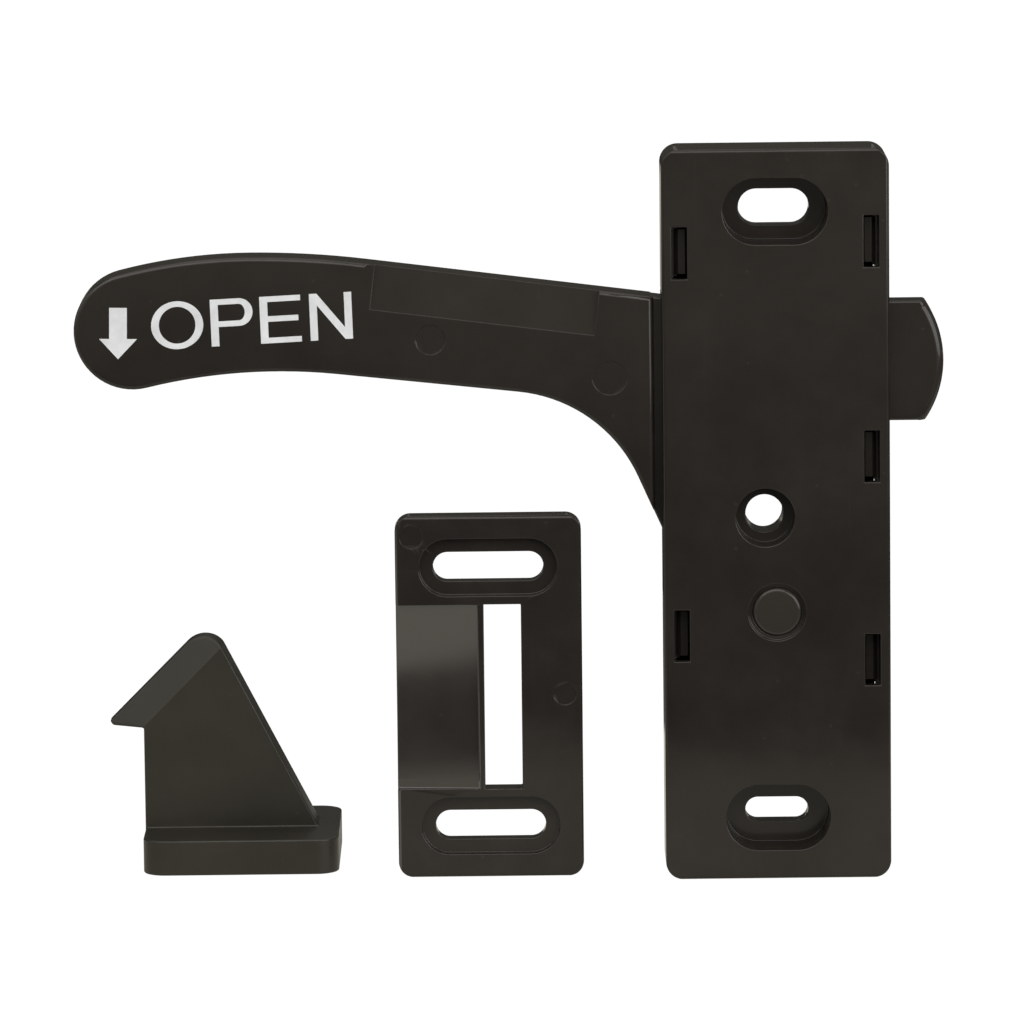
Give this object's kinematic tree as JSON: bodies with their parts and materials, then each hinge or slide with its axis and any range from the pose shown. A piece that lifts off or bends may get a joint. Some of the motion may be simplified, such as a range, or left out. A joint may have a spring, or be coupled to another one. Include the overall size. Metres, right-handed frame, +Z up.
{
  "type": "screen door latch",
  "caption": "Moulded screen door latch set: slim case with a press-down handle that swings a rounded bolt, slotted strike plate with a ramp, and a finger pull with a lip.",
  "frame": {"origin": "centre of the latch case's mounting face, the plane that lies on the door", "axes": "+X towards the bolt, +Y into the door, +Z up; the strike and the pull stand beside the latch on one floor"},
  "size_m": [0.1531, 0.0415, 0.13],
  "materials": {
    "case_plastic": "satin moulded",
    "lever_plastic": "satin moulded",
    "pin_plastic": "satin moulded",
    "spring_steel": "drawn wire",
    "strike_plastic": "satin moulded, polished ramp",
    "pull_plastic": "satin moulded"
  },
  "bodies": {
    "latch_set": {"front_housing": "case_plastic", "back_plate": "case_plastic", "pivot_pin": "pin_plastic", "return_spring": "spring_steel", "strike_plate": "strike_plastic", "finger_pull": "pull_plastic"},
    "lever": {"handle_lever": "lever_plastic"}
  },
  "joints": [
    {"name": "handle_pivot", "type": "hinge", "parent": "latch_set", "child": "lever", "pos_m": [0, -0.0064, -0.0171], "axis": [0, -1, 0], "range_deg": [0, 13], "stiffness_Nm_per_rad": 1.2, "springref_deg": -17.19, "deforming": ["return_spring"]}
  ]
}
